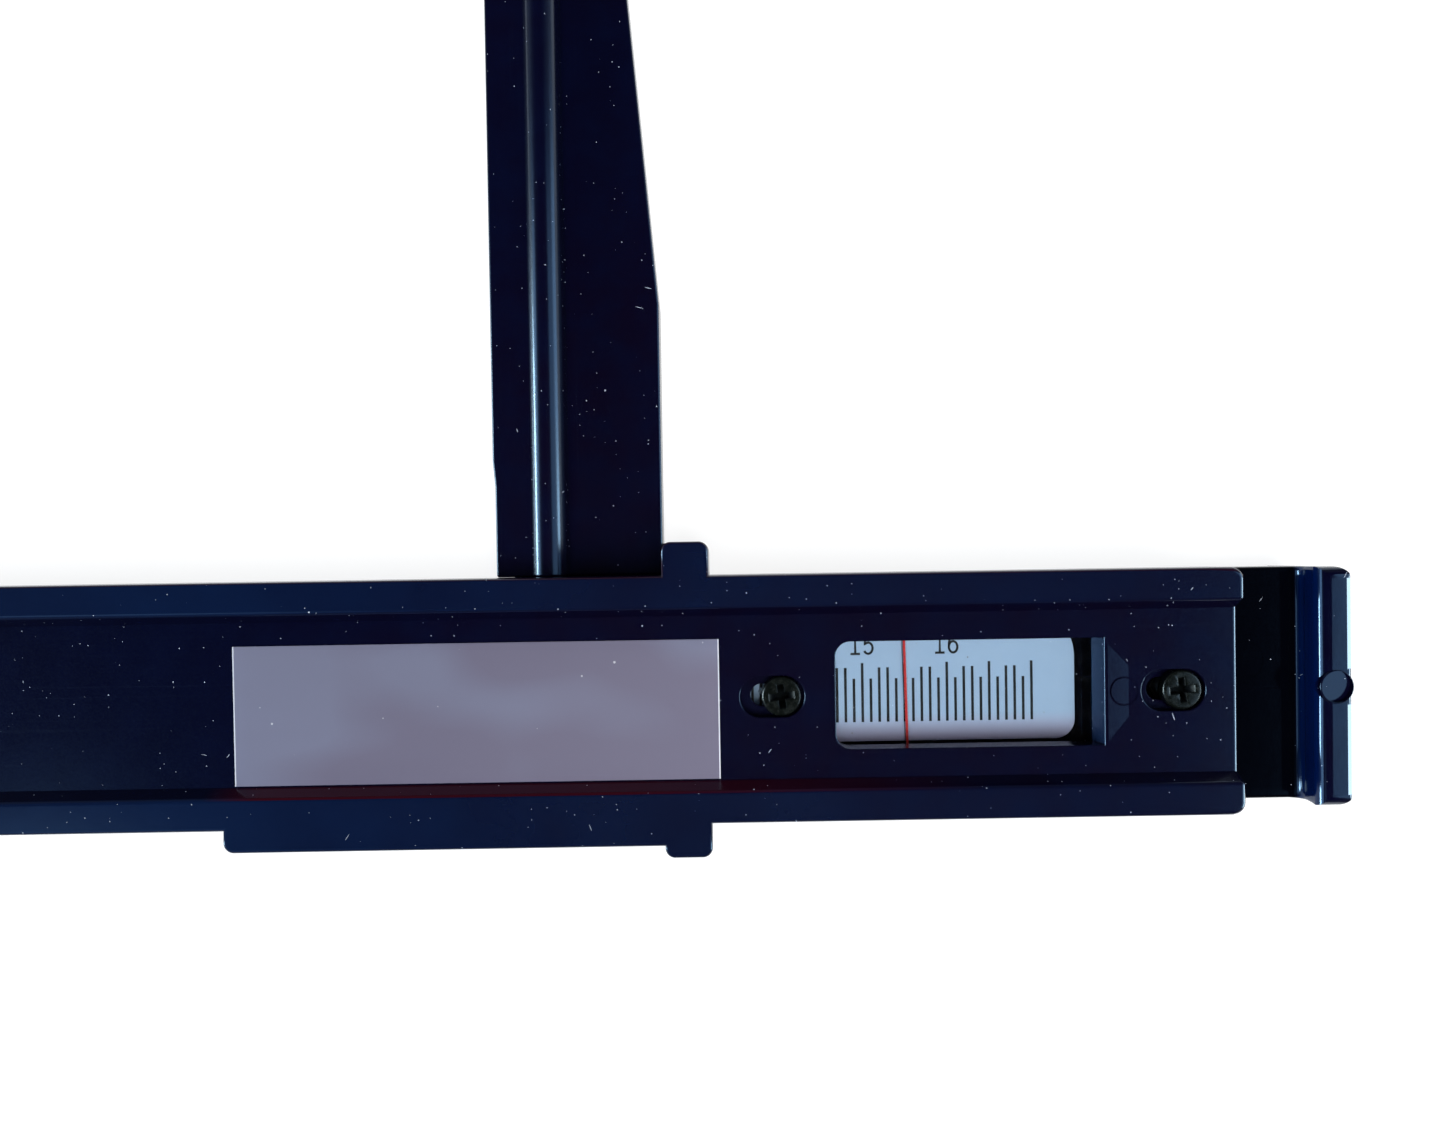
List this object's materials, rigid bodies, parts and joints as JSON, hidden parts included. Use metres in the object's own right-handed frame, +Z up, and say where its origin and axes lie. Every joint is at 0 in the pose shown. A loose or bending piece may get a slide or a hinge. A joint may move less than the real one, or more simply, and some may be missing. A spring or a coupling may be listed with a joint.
{
  "type": "anthropometric caliper",
  "caption": "Moulded plastic sliding caliper for small bone breadths: beam with end bar, fixed and sliding jaw, windowed cover and hairline cursor.",
  "frame": {"origin": "centre of the bounding box's base, with the caliper lying on its back on the surface", "axes": "+X along the beam towards the end bar, +Y towards the jaws' tips, +Z up to the reader, out of the front of the cover"},
  "size_m": [0.2756, 0.1366, 0.015],
  "materials": {
    "moulded_plastic": "semi-matt dark navy moulding",
    "white_strip": "satin white, printed",
    "clear_plastic": "clear, polished",
    "red_line": "red paint in a groove",
    "silver_foil": "glossy self-adhesive foil",
    "black_steel": "black oxide",
    "zinc_steel": "zinc plated",
    "spring_steel": "bright"
  },
  "bodies": {
    "rule": {"rule_beam": "moulded_plastic", "scale_strip": "white_strip", "fixed_jaw": "moulded_plastic", "fixed_jaw_screw_1": "zinc_steel", "fixed_jaw_screw_2": "zinc_steel", "fixed_jaw_screw_3": "zinc_steel"},
    "carriage": {"carriage_cover": "moulded_plastic", "moving_jaw": "moulded_plastic", "gib_spring": "spring_steel", "nameplate": "silver_foil", "carriage_screw_1": "zinc_steel", "carriage_screw_2": "zinc_steel", "carriage_screw_3": "zinc_steel", "carriage_screw_4": "zinc_steel"},
    "cursor": {"cursor_lens": "clear_plastic", "hairline": "red_line", "cursor_nut_left": "zinc_steel", "cursor_nut_right": "zinc_steel"},
    "left_screw": {"cursor_screw_left": "black_steel"},
    "right_screw": {"cursor_screw_right": "black_steel"}
  },
  "joints": [
    {"name": "carriage_slide", "type": "slide", "parent": "rule", "child": "carriage", "axis": [1, 0, 0], "range_m": [-0.1549, 0.0083]},
    {"name": "cursor_adjust", "type": "slide", "parent": "carriage", "child": "cursor", "axis": [1, 0, 0], "range_m": [-0.0022, 0.0002]},
    {"name": "left_screw_turn", "type": "hinge", "parent": "cursor", "child": "left_screw", "pos_m": [0.07255, -0.0506, 0.0115], "axis": [0, 0, 1], "range_deg": [0, 360]},
    {"name": "right_screw_turn", "type": "hinge", "parent": "cursor", "child": "right_screw", "pos_m": [0.1181, -0.0506, 0.0115], "axis": [0, 0, 1], "range_deg": [0, 360]}
  ]
}
